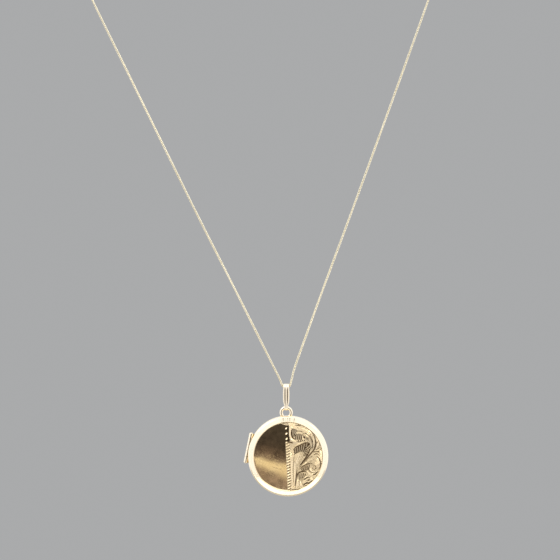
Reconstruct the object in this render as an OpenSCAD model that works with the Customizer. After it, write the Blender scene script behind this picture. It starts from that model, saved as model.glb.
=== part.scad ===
// Round hinged photo locket on a reeded bail and a fine curb chain with a bolt ring clasp.
// The seam lies across the case, the engraved cover faces -Y, and the origin is the top of the chain's loop.

/* [Case] */
// Diameter of the round case over its rim
case_d = 25; // [24:0.5:27]
// Thickness of the pressed sheet
wall = 0.45; // [0.4:0.05:0.5]
// Depth of the front cover from the seam to the edge of its disc
front_depth = 1.9; // [1.9:0.1:2.3]
// Depth of the back cover from the seam to the edge of its disc
back_depth = 2.6; // [2.4:0.1:3.2]
// Width of the plain sloping border round each disc
border_w = 1.75; // [1.6:0.05:1.9]
// Slope of the border, steeper than the disc inside it
border_slope = 18; // [16:1:20]
// Radius of the rounded edge where the border meets the rim
edge_r = 0.9; // [0.8:0.05:1]
// Height that the middle of a cover rises above the edge of its disc
dome_rise = 0.75; // [0.5:0.05:0.9]
// Angle that the case hangs turned about its ring, anticlockwise from the front
hang_tilt = 2.5; // [0:0.5:5]

/* [Hinge] */
// Direction of the hinge from the middle of the case
hinge_angle = 166; // [160:1:180]
// Radius of the hinge barrel
barrel_r = 0.65; // [0.6:0.05:0.7]
// Length of the hinge barrel
barrel_len = 9.2; // [8:0.2:10]
// Radius of the hinge pin
pin_r = 0.25; // [0.2:0.05:0.3]
// Number of knuckles, odd so that the back holds both ends
knuckles = 5; // [3:2:5]

/* [Photo frames] */
// Outer radius of a photo frame
frame_r = 10.9; // [10.6:0.1:10.9]
// Inner radius of a photo frame, which is the part of the picture that shows
frame_sight_r = 9.2; // [8.6:0.1:9.6]
// Radius of the glass and of the blank card behind it
glass_r = 10.3; // [10:0.1:10.3]

/* [Ring and bail] */
// Outer radius of the ring on the case
ring_r = 2.05; // [1.9:0.05:2.2]
// Radius of the ring's wire
ring_wire_r = 0.5; // [0.45:0.05:0.5]
// Length of the bail between the centres of its two ends
bail_len = 6.3; // [6:0.05:7]
// Thickness of the bail's strap
bail_wall = 0.3; // [0.25:0.05:0.35]
// Outer radius of the bail's top end
bail_top_r = 1.15; // [1.1:0.05:1.3]
// Outer radius of the bail's lower end
bail_low_r = 0.9; // [0.9:0.05:1]

/* [Chain and clasp] */
// Width of the curb chain
chain_w = 0.7; // [0.6:0.05:0.8]
// Radius of the bolt ring's centre line
clasp_r = 2; // [1.9:0.1:2.2]
// Radius of the bolt ring's tube
clasp_tube_r = 0.6; // [0.55:0.05:0.6]
// Radius of the sliding bolt
bolt_r = 0.3; // [0.25:0.05:0.3]

/* [Hidden] */
$fn = 128;

// Metal colours
gold = [0.86, 0.72, 0.47];
pale_gold = [0.92, 0.81, 0.58];

// Case
case_r = case_d / 2;
disc_r = case_r - border_w;
edge_mid = case_r - edge_r;
edge_end = edge_mid + edge_r * sin(border_slope);
edge_rise = edge_r * cos(border_slope) + (edge_end - disc_r) * tan(border_slope);
dome_r = (pow(disc_r, 2) + pow(dome_rise, 2)) / (2 * dome_rise);
seam_y = -0.55;

// Bands inside the rim, the snap lip and the seats that the photo frames rest on
band_r = case_r - wall;
front_band_r = case_r - 0.9;
lip_r = front_band_r - 0.08;
lip_inner_r = 11.1 + (case_d - 25) / 2;
lip_height = 0.6;
seat_depth = 0.66;
seat_r = 10.4;
band_depth = 0.86;
band_shoulder = 0.6;
band_top_r = band_r - 0.15;

// Photo frames, glass and cards, measured from the seam
frame_near = 0.2;
frame_far = 0.62;
glass_near = 0.64;
glass_far = 0.84;
card_near = 0.86;
card_far = 0.98;

// Hinge
axis_r = case_r + 0.05;
notch_r = barrel_r + 0.08;
bore_r = pin_r + 0.03;
knuckle_gap = 0.06;
knuckle_len = (barrel_len - (knuckles - 1) * knuckle_gap) / knuckles;
knuckle_step = knuckle_len + knuckle_gap;
web_near = 0.12;
web_far = 0.85;
pin_head_r = 0.5;
pin_head_len = 0.22;
nick_r = 1.4;
nick_depth = 0.22;

// Ring and bail
bail_x = 7.85;
ring_z = -172.54;
ring_mid_r = ring_r - ring_wire_r;
ring_to_case = 13.47;
eye_z = ring_z + ring_mid_r;
crown_z = eye_z + bail_len;
groove_depth = 0.1;
groove_w = 0.16;
groove_x = 0.32;

// Chain route on the plane Y = 0 from the clasp's eye, down, through the bail and up again: X and Z
route = [
    [-4.8, 0], [-14, -1.5], [-24.8, -4.9], [-35, -10], [-43.5, -16], [-49.5, -22.5], [-53, -29],
    [-54.2, -35], [-53.8, -40.2], [-52.1, -44.9], [-41.2, -67.3], [-30.3, -89.6], [-19.3, -112],
    [-8, -134.4], [3.2, -156.8], [5.6, -161.6], [6.55, -163.85], [6.85, -164.3], [7.3, -164.55],
    [7.85, -164.65], [8.4, -164.55], [8.85, -164.3], [9.15, -163.8], [9.75, -161.4], [11.1, -156.8],
    [19.2, -134.4], [27.5, -112], [35.7, -89.6], [43.8, -67.3], [51.8, -44.9], [53.2, -40.2],
    [53.4, -35], [52.2, -29], [49, -22.5], [43.3, -16], [35, -10], [25.2, -4.9], [15.6, -1.5], [6.4, 0]];
chain_sides = 8;
rings_between = 2;

// Clasp
clasp_bore_r = bolt_r + 0.05;
gap_start = 35;
gap_end = 85;
bolt_start = 30;
bolt_end = 120;
lug_angle = 108;
slot_start = 102;
slot_end = 166;
bore_end = 205;
jump_r = 0.7;
jump_wire_r = 0.2;
eye_r = 0.5;
eye_x = -clasp_r - clasp_tube_r - 0.55;
tag_hole_r = 0.75;
tag_x = clasp_r + 0.1;
tag_end_x = 4.7;
tag_end_hole_r = 0.4;
tag_thick = 0.3;

// ---- placing ----

// Puts a shape made about the case's middle, seam on the plane Y = 0, where the case hangs
module on_case() {
    translate([bail_x, seam_y, ring_z])
        rotate([0, -hang_tilt, 0])
            translate([0, 0, -ring_to_case]) children();
}

// Local +Z points to the front, out of the cover that faces -Y
module front_side() { on_case() rotate([90, 0, 0]) children(); }

// Local +Z points to the back
module back_side() { on_case() rotate([90, 0, 0]) mirror([0, 0, 1]) children(); }

// Local +Z runs along the hinge, local -X points to the middle of the case, local +Y to the back
module on_hinge() {
    on_case() rotate([0, -hinge_angle, 0]) translate([axis_r, 0, 0]) children();
}

// Local XY is the plane of the chain's loop
module in_loop() { rotate([90, 0, 0]) children(); }

module ring(radius, wire) { rotate_extrude() translate([radius, 0]) circle(wire, $fn = 48); }

module disc(radius, near, far) { translate([0, 0, near]) cylinder(h = far - near, r = radius); }

// ---- covers ----

// Half section of a cover grown inward by inset: rim, rounded edge, sloping border and domed disc
module cover_outline(depth, inset, foot) {
    mid = depth - edge_rise;
    bend = edge_r - inset;
    intersection() {
        translate([0, foot]) square([case_r - inset, depth + dome_rise - foot]);
        union() {
            translate([0, foot]) square([case_r - inset, mid - foot]);
            translate([edge_mid, mid]) circle(bend, $fn = 96);
            polygon([
                [0, foot], [edge_mid, foot], [edge_mid, mid],
                [edge_mid + bend * sin(border_slope), mid + bend * cos(border_slope)],
                [0, depth + disc_r * tan(border_slope) - inset / cos(border_slope)]]);
        }
        translate([0, depth + dome_rise - dome_r]) circle(dome_r - inset, $fn = 720);
    }
}

module cover_shell(depth) {
    rotate_extrude($fn = 192) difference() {
        cover_outline(depth, 0, 0);
        cover_outline(depth, wall, -1);
    }
}

module hinge_notch() { on_hinge() cylinder(h = barrel_len + 0.3, r = notch_r, center = true); }

module thumb_nick() {
    on_case() rotate([0, 180 - hinge_angle, 0]) translate([case_r + nick_r - nick_depth, 0, 0])
        rotate([90, 0, 0]) cylinder(h = 0.5, r = nick_r);
}

module front_cover() {
    color(pale_gold) difference() {
        front_side() cover_shell(front_depth);
        hinge_notch();
        thumb_nick();
    }
}

module back_cover() {
    color(gold) difference() {
        back_side() cover_shell(back_depth);
        hinge_notch();
    }
}

// Outside of a band, with a shoulder that clears the bend of the cover
module band_body() {
    disc(band_r, 0, band_shoulder);
    disc(band_top_r, 0, band_depth);
}

module front_band() {
    color(gold) difference() {
        front_side() difference() {
            band_body();
            disc(front_band_r, -1, seat_depth);
            disc(seat_r, -1, 2);
        }
        hinge_notch();
    }
}

module back_band() {
    color(gold) difference() {
        back_side() difference() {
            union() {
                band_body();
                disc(lip_r, -lip_height, 0);
            }
            disc(lip_inner_r, -1, seat_depth);
            disc(seat_r, -1, 2);
        }
        hinge_notch();
    }
}

// ---- what the case holds ----

module photo_frame() {
    rotate_extrude($fn = 192) {
        translate([frame_sight_r + 0.3, frame_near]) square([frame_r - frame_sight_r - 0.3, frame_far - frame_near]);
        translate([frame_sight_r + 0.3, (frame_near + frame_far) / 2]) circle((frame_far - frame_near) / 2, $fn = 32);
    }
}

module photo_frame_front() { color(gold) front_side() photo_frame(); }
module photo_frame_back() { color(gold) back_side() photo_frame(); }
module photo_glass_front() { color([0.85, 0.9, 0.9, 0.35]) front_side() disc(glass_r, glass_near, glass_far); }
module photo_glass_back() { color([0.85, 0.9, 0.9, 0.35]) back_side() disc(glass_r, glass_near, glass_far); }
module photo_card_front() { color("ivory") front_side() disc(glass_r - 0.1, card_near, card_far); }
module photo_card_back() { color("ivory") back_side() disc(glass_r - 0.1, card_near, card_far); }

// ---- hinge ----

// Knuckles from number first on, every second one; side is -1 for the front half and 1 for the back
module knuckle_set(first, side) {
    difference() {
        on_hinge() for (i = [first : 2 : knuckles - 1])
            translate([0, 0, i * knuckle_step - barrel_len / 2]) {
                cylinder(h = knuckle_len, r = barrel_r);
                translate([-1.3, side > 0 ? web_near : -web_far, 0])
                    cube([1.3, web_far - web_near, knuckle_len]);
            }
        on_hinge() cylinder(h = barrel_len + 2, r = bore_r, center = true);
        on_case() rotate([90, 0, 0]) cylinder(h = 4, r = case_r - wall + 0.04, center = true, $fn = 192);
    }
}

module hinge_knuckles_front() { color(pale_gold) knuckle_set(1, -1); }
module hinge_knuckles_back() { color(gold) knuckle_set(0, 1); }

module hinge_pin() {
    color(pale_gold) on_hinge() {
        cylinder(h = barrel_len + 0.1, r = pin_r, center = true);
        for (end = [-1, 1]) translate([0, 0, end * (barrel_len / 2 + 0.05 + pin_head_len / 2)])
            cylinder(h = pin_head_len, r = pin_head_r, center = true);
    }
}

// ---- ring and bail ----

// The ring stands on the back half's rim, which its foot is let into
module hanging_ring() {
    color(pale_gold) difference() {
        translate([bail_x, 0, ring_z]) in_loop() ring(ring_mid_r, ring_wire_r);
        on_case() rotate([90, 0, 0]) cylinder(h = 4, r = case_r - wall + 0.04, center = true, $fn = 192);
    }
}

// Outline of the strap seen from the side: two round ends joined by straight sides
module strap_outline(top_r, low_r) {
    hull() {
        circle(top_r, $fn = 64);
        translate([0, -bail_len]) circle(low_r, $fn = 64);
    }
}

// A slice of the strap from x to x + width, with its sides grown inward by outer and inner
module strap_slice(x, width, outer, inner) {
    translate([bail_x + x, 0, crown_z]) rotate([90, 0, 90]) linear_extrude(width) difference() {
        strap_outline(bail_top_r + outer, bail_low_r + outer);
        strap_outline(bail_top_r - inner, bail_low_r - inner);
    }
}

module bail() {
    face = [[0.82, 1.3], [0.88, 0.4], [1, -1.6], [0.96, -3.2], [0.78, -4.8], [0.5, -6.1], [0.36, -7.4]];
    color(pale_gold) difference() {
        intersection() {
            strap_slice(-1.2, 2.4, 0, bail_wall);
            translate([bail_x, 0, crown_z]) in_loop() linear_extrude(4, center = true)
                polygon([for (p = face) p, for (i = [len(face) - 1 : -1 : 0]) [-face[i][0], face[i][1]]]);
        }
        for (side = [-1, 1]) strap_slice(side * groove_x - groove_w / 2, groove_w, 0.5, groove_depth);
    }
}

// ---- chain ----

function spline(a, b, c, d, t) =
    0.5 * (2 * b + (c - a) * t + (2 * a - 5 * b + 4 * c - d) * t * t + (3 * b - a - 3 * c + d) * t * t * t);

last = len(route) - 1;
strand = [for (i = [0 : last - 1], k = [0 : rings_between - 1])
    spline(route[max(i - 1, 0)], route[i], route[i + 1], route[min(i + 2, last)], k / rings_between),
    route[last]];
strand_last = len(strand) - 1;

function heading(i) =
    let(v = strand[min(i + 1, strand_last)] - strand[max(i - 1, 0)]) v / norm(v);

module chain() {
    r = chain_w / 2;
    points = [for (i = [0 : strand_last], k = [0 : chain_sides - 1])
        let(p = strand[i], h = heading(i), a = 360 * k / chain_sides)
        [p.x - h.y * r * cos(a), r * sin(a), p.y + h.x * r * cos(a)]];
    sides = [for (i = [0 : strand_last - 1], k = [0 : chain_sides - 1])
        let(a = i * chain_sides, n = (k + 1) % chain_sides)
        [a + k, a + n, a + chain_sides + n, a + chain_sides + k]];
    start_cap = [for (k = [chain_sides - 1 : -1 : 0]) k];
    end_cap = [for (k = [0 : chain_sides - 1]) strand_last * chain_sides + k];
    color(gold) polyhedron(points, concat(sides, [start_cap, end_cap]), convexity = 4);
}

module chain_end_ring_left() {
    color(gold) translate([eye_x - 0.05 - jump_r, 0, 0]) ring(jump_r, jump_wire_r);
}

module chain_end_ring_right() {
    color(gold) translate([tag_end_x + 0.1 + jump_r, 0, 0]) in_loop() ring(jump_r, jump_wire_r);
}

// ---- clasp ----

module arc(from, to, radius) {
    rotate([0, 0, from]) rotate_extrude(angle = to - from) translate([clasp_r, 0]) circle(radius, $fn = 48);
}

module clasp_body() {
    color(pale_gold) in_loop() difference() {
        arc(gap_end, 360 + gap_start, clasp_tube_r);
        arc(gap_end - 1, bore_end, clasp_bore_r);
        arc(bolt_start - 2, gap_start + 1, clasp_bore_r);
        rotate([0, 0, slot_start]) rotate_extrude(angle = slot_end - slot_start)
            translate([clasp_r, -0.22]) square([1, 0.44]);
    }
}

module clasp_bolt() {
    color(gold) in_loop() {
        arc(bolt_start, bolt_end, bolt_r);
        rotate([0, 0, lug_angle]) translate([clasp_r, 0, 0]) rotate([0, 90, 0]) cylinder(h = 1.15, r = 0.18);
    }
}

module clasp_spring() {
    color("silver") in_loop() difference() {
        arc(bolt_end + 0.5, bore_end - 0.5, bolt_r);
        arc(bolt_end - 1, bore_end + 1, bolt_r - 0.1);
    }
}

module clasp_eye() {
    color(gold) translate([eye_x, 0, 0]) in_loop() ring(eye_r, jump_wire_r);
}

module clasp_tag() {
    color(pale_gold) translate([0, 0, -tag_thick / 2]) difference() {
        union() {
            translate([tag_x, 0, 0]) cylinder(h = tag_thick, r = tag_hole_r + 0.4);
            translate([tag_end_x, 0, 0]) cylinder(h = tag_thick, r = tag_end_hole_r + 0.4);
            translate([tag_x, -0.5, 0]) cube([tag_end_x - tag_x, 1, tag_thick]);
        }
        translate([tag_x, 0, -1]) cylinder(h = 3, r = tag_hole_r);
        translate([tag_end_x, 0, -1]) cylinder(h = 3, r = tag_end_hole_r);
    }
}

front_cover();
front_band();
photo_frame_front();
photo_glass_front();
photo_card_front();
hinge_knuckles_front();
back_cover();
back_band();
photo_frame_back();
photo_glass_back();
photo_card_back();
hinge_knuckles_back();
hinge_pin();
hanging_ring();
bail();
chain();
chain_end_ring_left();
chain_end_ring_right();
clasp_body();
clasp_eye();
clasp_bolt();
clasp_spring();
clasp_tag();
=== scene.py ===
"""A round hinged photo locket on a reeded bail and a fine curb chain.

Shapes are worked out in millimetres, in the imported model's frame, and turned to metres as they are made.
"""
from math import asin, atan2, cos, degrees, hypot, pi, radians, sin, sqrt, tan

import bmesh
import bpy
import numpy as np
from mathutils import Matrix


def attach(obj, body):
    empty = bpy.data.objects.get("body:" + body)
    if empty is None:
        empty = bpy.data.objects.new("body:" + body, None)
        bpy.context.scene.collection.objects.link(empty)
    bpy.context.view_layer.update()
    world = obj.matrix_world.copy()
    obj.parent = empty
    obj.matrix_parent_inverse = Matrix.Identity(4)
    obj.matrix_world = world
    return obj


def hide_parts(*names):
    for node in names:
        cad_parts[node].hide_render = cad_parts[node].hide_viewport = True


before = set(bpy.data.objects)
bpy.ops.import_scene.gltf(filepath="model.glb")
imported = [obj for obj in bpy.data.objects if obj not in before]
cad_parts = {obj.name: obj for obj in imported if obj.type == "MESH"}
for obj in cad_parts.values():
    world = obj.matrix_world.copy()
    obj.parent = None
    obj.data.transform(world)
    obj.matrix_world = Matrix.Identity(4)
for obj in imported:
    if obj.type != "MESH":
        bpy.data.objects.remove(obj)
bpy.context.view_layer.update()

MM = 0.001

# ---- sizes in millimetres and degrees, as the CAD model has them ----

CASE_R = 12.5
WALL = 0.45
FRONT_DEPTH = 1.9
BACK_DEPTH = 2.6
BORDER_W = 1.75
BORDER_SLOPE = radians(18)
EDGE_R = 0.9
DOME_RISE = 0.75
DISC_R = CASE_R - BORDER_W
EDGE_MID = CASE_R - EDGE_R
EDGE_END = EDGE_MID + EDGE_R * sin(BORDER_SLOPE)
EDGE_RISE = EDGE_R * cos(BORDER_SLOPE) + (EDGE_END - DISC_R) * tan(BORDER_SLOPE)
DOME_R = (DISC_R**2 + DOME_RISE**2) / (2 * DOME_RISE)
SEAM_Y = -0.55
HANG_TILT = 2.5
NICK_R = 1.4
NICK_MID = CASE_R + 1.18

BAIL_X = 7.85
RING_Z = -172.54
RING_TO_CASE = 13.47
RING_R = 2.05
RING_WIRE_R = 0.5
BAIL_LEN = 6.3
BAIL_WALL = 0.3
BAIL_TOP_R = 1.15
BAIL_LOW_R = 0.9
CROWN_Z = RING_Z + RING_R - RING_WIRE_R + BAIL_LEN

HINGE_ANGLE = 166
HINGE_R = CASE_R + 0.05
BARREL_R = 0.65
BARREL_LEN = 9.2
NOTCH_R = BARREL_R + 0.08
NOTCH_HALF_LEN = 4.75
PIN_R = 0.25
PIN_BORE_R = PIN_R + 0.03
PIN_HEAD_R = 0.5
PIN_HEAD_Z = 4.65
KNUCKLES = 5
KNUCKLE_GAP = 0.06
WEB_NEAR = 0.15
WEB_DEEP = 0.82

BAND_R = CASE_R - WALL
FRONT_BAND_R = CASE_R - 0.9
LIP_R = FRONT_BAND_R - 0.08
LIP_INNER_R = 11.1
LIP_HEIGHT = 0.6
SEAT_R = 10.4
SEAT_DEPTH = 0.66
BAND_DEPTH = 0.86
BAND_SHOULDER = 0.6
BAND_TOP_R = BAND_R - 0.15
FRAME_R = 10.9
FRAME_SIGHT_R = 9.2
GLASS_R = 10.3
GLASS_NEAR = 0.64
GLASS_FAR = 0.84
CARD_R = GLASS_R - 0.1
CARD_NEAR = 0.86
CARD_FAR = 0.98

CHAIN_W = 0.7
ROUTE = [
    (-4.8, 0), (-14, -1.5), (-24.8, -4.9), (-35, -10), (-43.5, -16), (-49.5, -22.5), (-53, -29),
    (-54.2, -35), (-53.8, -40.2), (-52.1, -44.9), (-41.2, -67.3), (-30.3, -89.6), (-19.3, -112),
    (-8, -134.4), (3.2, -156.8), (5.6, -161.6), (6.55, -163.85), (6.85, -164.3), (7.3, -164.55),
    (7.85, -164.65), (8.4, -164.55), (8.85, -164.3), (9.15, -163.8), (9.75, -161.4), (11.1, -156.8),
    (19.2, -134.4), (27.5, -112), (35.7, -89.6), (43.8, -67.3), (51.8, -44.9), (53.2, -40.2),
    (53.4, -35), (52.2, -29), (49, -22.5), (43.3, -16), (35, -10), (25.2, -4.9), (15.6, -1.5), (6.4, 0)]

CLASP_R = 2.0
CLASP_TUBE_R = 0.6
TUBE_ARC = (85, 395)
BORE_ARC = (80, 205)
SOCKET_ARC = (28, 37)
SLOT_ARC = (102, 166)
SLOT_HALF_W = 0.22
BOLT_ARC = (30, 120)
BOLT_R = 0.3
BORE_R = BOLT_R + 0.05
THUMB_ANGLE = 108
SPRING_ARC = (121, 204)
SPRING_R = 0.24
SPRING_WIRE_R = 0.05
SPRING_TURNS = 14
JUMP_R = 0.7
JUMP_WIRE_R = 0.2
EYE_R = 0.5
EYE_X = -CLASP_R - CLASP_TUBE_R - 0.55
TAG_X = CLASP_R + 0.1
TAG_END_X = 4.7
TAG_HALF_T = 0.15

# ---- details that only the visual model has ----

SEAM_GAP = 0.01
EDGE_BEND = 0.55
EDGE_BEND_SLOPE = 0.14
RAY_STEP = 3.4
RAY_FROM = -12
RAY_TO = 16
RAY_END_R = 12.0
RAY_DEPTH = 0.07
RAY_PAINTED_SHADE = 0.55
REED_DEPTH = 0.17
WEB_PAINTED_SHADE = 0.9
LINK_LENGTH = 1.02
LINK_PITCH = 0.53
LINK_WIRE_R = 0.12
LINK_TWIST = 42
END_HOOK = 0.14
CELL = 0.025
HALF = 440

# ---- transforms ----


def move(x, y, z):
    m = np.eye(4)
    m[:3, 3] = (x, y, z)
    return m


def turn(axis, angle):
    c = cos(radians(angle))
    s = sin(radians(angle))
    i, j = {"x": (1, 2), "y": (2, 0), "z": (0, 1)}[axis]
    m = np.eye(4)
    m[i, i] = m[j, j] = c
    m[i, j] = -s
    m[j, i] = s
    return m


def apply(m, points):
    points = np.asarray(points, float)
    return points @ m[:3, :3].T + m[:3, 3]


ON_CASE = move(BAIL_X, SEAM_Y, RING_Z) @ turn("y", -HANG_TILT) @ move(0, 0, -RING_TO_CASE)
FRONT_SIDE = ON_CASE @ turn("x", 90)
BACK_SIDE = ON_CASE @ turn("x", -90)
ON_HINGE = ON_CASE @ turn("y", -HINGE_ANGLE) @ move(HINGE_R, 0, 0)
IN_LOOP = turn("x", 90)

# ---- camera: level, 0.48 m in front, a 20 degree view ----

camera = bpy.data.objects.new("camera", bpy.data.cameras.new("camera"))
bpy.context.scene.collection.objects.link(camera)
camera.data.lens = 100
camera.data.sensor_width = 36
camera.data.clip_start = 0.01
camera.location = (5.92 * MM, -484.4 * MM, -131.26 * MM)
camera.rotation_euler = (radians(90), 0, 0)
bpy.context.scene.camera = camera

# ---- materials ----


class Tree:
    """A node tree with short ways to add to it. Its noises all use the same coordinates."""

    def __init__(self, owner, space):
        owner.use_nodes = True
        self.nodes = owner.node_tree.nodes
        self.links = owner.node_tree.links
        self.coordinates = self.nodes.new("ShaderNodeTexCoord").outputs[space]

    def put(self, value, socket):
        """Sets a socket to a number or a colour, or links it to another node's output."""
        if isinstance(value, tuple):
            socket.default_value = (*value, 1)
        elif isinstance(value, (int, float)):
            socket.default_value = value
        else:
            self.links.new(value, socket)

    def noise(self, scale, detail=3.0, grain=None, rotation=(0, 0, 0)):
        """A noise texture, or one whose grain has a length along each turned axis."""
        texture = self.nodes.new("ShaderNodeTexNoise")
        texture.inputs["Scale"].default_value = scale
        texture.inputs["Detail"].default_value = detail
        place = self.coordinates
        if grain:
            mapping = self.nodes.new("ShaderNodeMapping")
            mapping.vector_type = "TEXTURE"
            mapping.inputs["Scale"].default_value = grain
            mapping.inputs["Rotation"].default_value = rotation
            self.links.new(place, mapping.inputs["Vector"])
            place = mapping.outputs["Vector"]
        self.links.new(place, texture.inputs["Vector"])
        return texture.outputs["Fac"]

    def ramp(self, value, *stops):
        """A colour ramp; stops are (position, grey or colour)."""
        node = self.nodes.new("ShaderNodeValToRGB")
        elements = node.color_ramp.elements
        middle = [elements.new(position) for position, _ in stops[1:-1]]
        for element, (position, colour) in zip([elements[0], *middle, elements[-1]], stops):
            element.position = position
            element.color = (*colour, 1) if isinstance(colour, tuple) else (colour, colour, colour, 1)
        self.links.new(value, node.inputs["Fac"])
        return node.outputs["Color"]

    def maths(self, operation, first, second):
        node = self.nodes.new("ShaderNodeMath")
        node.operation = operation
        self.put(first, node.inputs[0])
        self.put(second, node.inputs[1])
        return node.outputs["Value"]

    def mix(self, factor, first, second, blend="MIX"):
        node = self.nodes.new("ShaderNodeMix")
        node.data_type = "RGBA"
        node.blend_type = blend
        self.put(factor, node.inputs["Factor"])
        self.put(first, node.inputs["A"])
        self.put(second, node.inputs["B"])
        return node.outputs["Result"]

    def bump(self, height, strength, distance, shader):
        node = self.nodes.new("ShaderNodeBump")
        node.inputs["Strength"].default_value = strength
        node.inputs["Distance"].default_value = distance
        self.links.new(height, node.inputs["Height"])
        self.links.new(node.outputs["Normal"], shader.inputs["Normal"])


def new_material(name, metallic=0.0):
    material = bpy.data.materials.new(name)
    tree = Tree(material, "Object")
    shader = tree.nodes["Principled BSDF"]
    shader.inputs["Metallic"].default_value = metallic
    return material, tree, shader


def gold(name, light, deep, roughness, scratches=0.0, painted_shade_in_cuts=False):
    """Polished gold: two close tones, hairline scratches in three directions and a slightly wavy sheet.

    The last flag mixes in painted shade from a point attribute: a dark brown that stands for the shade and
    dark reflections in cuts and hollows."""
    material, tree, shader = new_material(name, 1.0)
    colour = tree.mix(tree.noise(260, 4), light, deep)
    fine = tree.noise(1800, 3)
    gloss = tree.ramp(fine, (0.3, roughness * 0.7), (0.7, roughness * 1.5))
    height = tree.maths("MULTIPLY", fine, 0.1)
    height = tree.maths("ADD", height, tree.maths("MULTIPLY", tree.noise(330, 1), 0.8))
    for index, angle in enumerate((0.35, 1.5, 2.5)):
        lines = tree.noise(1, 2, (0.004, 0.0003, 0.00007), (0, angle, 0.2 * index))
        cut = tree.ramp(lines, (0.62, 0.0), (0.68, 1.0))
        height = tree.maths("SUBTRACT", height, tree.maths("MULTIPLY", cut, scratches))
    if painted_shade_in_cuts:
        # painted shade: a dark brown mixed into the colour where the points are marked dark
        cuts = tree.nodes.new("ShaderNodeAttribute")
        cuts.attribute_name = "painted_cut_shade"
        colour = tree.mix(cuts.outputs["Fac"], colour, (0.07, 0.036, 0.013))
        gloss = tree.maths("ADD", gloss, tree.maths("MULTIPLY", cuts.outputs["Fac"], 0.2))
    tree.put(colour, shader.inputs["Base Color"])
    tree.put(gloss, shader.inputs["Roughness"])
    tree.bump(height, 1.0, 0.00001, shader)
    return material


def card_material():
    """Ivory card with a fine fibre."""
    material, tree, shader = new_material("ivory_card")
    fibre = tree.noise(1, 6, (0.0012, 0.0007, 0.0004))
    tree.put(tree.mix(fibre, (0.80, 0.75, 0.64), (0.90, 0.86, 0.77)), shader.inputs["Base Color"])
    shader.inputs["Roughness"].default_value = 0.85
    tree.bump(fibre, 0.3, 0.00002, shader)
    return material


def glass_material():
    """Clear thin glass, very slightly greened, with faint smears in its gloss."""
    material, tree, shader = new_material("clear_glass")
    tree.put((0.97, 0.99, 0.98), shader.inputs["Base Color"])
    shader.inputs["Transmission Weight"].default_value = 1.0
    shader.inputs["IOR"].default_value = 1.5
    tree.put(tree.ramp(tree.noise(400, 2), (0.4, 0.01), (0.7, 0.05)), shader.inputs["Roughness"])
    return material


def steel_material():
    """Drawn spring steel."""
    material, tree, shader = new_material("spring_steel", 1.0)
    drawn = tree.noise(3000, 2)
    tree.put(tree.mix(drawn, (0.55, 0.55, 0.56), (0.68, 0.68, 0.68)), shader.inputs["Base Color"])
    tree.put(tree.ramp(drawn, (0.3, 0.25), (0.7, 0.4)), shader.inputs["Roughness"])
    return material


# a paler copy of the same gold, painted lighter to stand for bright highlights on the border, frames, hinge,
# bail, ring and clasp
highlight_pale_tones = ((0.96, 0.83, 0.59), (0.93, 0.77, 0.50))
polished = gold("polished_gold", (0.93, 0.74, 0.44), (0.88, 0.67, 0.36), 0.05, 0.12)
engraved_gold = gold("engraved_gold", (0.93, 0.74, 0.44), (0.87, 0.65, 0.34), 0.05, 0.12, True)
highlight_pale_gold = gold("highlight_pale_gold", *highlight_pale_tones, 0.12, 0.2, True)
reeded_gold = gold("reeded_gold", *highlight_pale_tones, 0.14, 0.0, True)
inner_gold = gold("inner_gold", (0.86, 0.66, 0.37), (0.79, 0.58, 0.30), 0.2, 0.2)
link_gold = gold("link_gold", (0.84, 0.76, 0.55), (0.77, 0.67, 0.43), 0.15)
card = card_material()
glass = glass_material()
steel = steel_material()

# ---- mesh helpers ----


def turn_outward(mesh):
    """Turn every face of closed shells outwards."""
    work = bmesh.new()
    work.from_mesh(mesh)
    bmesh.ops.recalc_face_normals(work, faces=work.faces)
    work.to_mesh(mesh)
    work.free()


def make_piece(name, verts, faces, material, body=None, slot=None, nodes=(), sharp=40):
    """A piece from points in millimetres and faces, riding on a body in place of the given CAD nodes."""
    mesh = bpy.data.meshes.new(name)
    mesh.from_pydata((np.asarray(verts) * MM).tolist(), [], [tuple(int(i) for i in face) for face in faces])
    mesh.validate()
    turn_outward(mesh)
    mesh.materials.append(material)
    mesh.shade_smooth()
    mesh.set_sharp_from_angle(angle=radians(sharp))
    piece = bpy.data.objects.new(name, mesh)
    bpy.context.scene.collection.objects.link(piece)
    if body:
        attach(piece, body)
        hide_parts(*nodes)
    return piece


def joined(*meshes):
    """Several (verts, faces) as one."""
    verts = []
    faces = []
    count = 0
    for some_verts, some_faces in meshes:
        verts.append(np.asarray(some_verts, float))
        faces += [[i + count for i in face] for face in some_faces]
        count += len(some_verts)
    return np.vstack(verts), faces


def placed(m, mesh):
    return apply(m, mesh[0]), mesh[1]


def arc(x, y, radius, start, end, count):
    angles = np.radians(np.linspace(start, end, count))
    return [(x + radius * cos(a), y + radius * sin(a)) for a in angles]


def lathe(profile, segments=256):
    """Turns a closed profile of (radius, height), listed anticlockwise, round Z."""
    verts = []
    rows = []
    angles = np.linspace(0, 2 * pi, segments, endpoint=False)
    for radius, height in profile:
        if radius < 1e-6:
            rows.append([len(verts)] * segments)
            verts.append((0, 0, height))
        else:
            rows.append(list(range(len(verts), len(verts) + segments)))
            verts += [(radius * cos(a), radius * sin(a), height) for a in angles]
    faces = []
    for row, upper in zip(rows, rows[1:] + rows[:1]):
        for k in range(segments):
            n = (k + 1) % segments
            face = list(dict.fromkeys((row[k], row[n], upper[n], upper[k])))
            if len(face) > 2:
                faces.append(face)
    return np.array(verts), faces


def frames_along(path, up, closed):
    """Unit tangents and two normals at each point of a path, the first normal kept close to up."""
    path = np.asarray(path, float)
    if closed:
        tangents = np.roll(path, -1, axis=0) - np.roll(path, 1, axis=0)
    else:
        tangents = np.gradient(path, axis=0)
    tangents /= np.linalg.norm(tangents, axis=1, keepdims=True)
    normals = np.cross(np.broadcast_to(up, path.shape), tangents)
    normals /= np.linalg.norm(normals, axis=1, keepdims=True)
    return tangents, normals, np.cross(tangents, normals)


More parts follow.
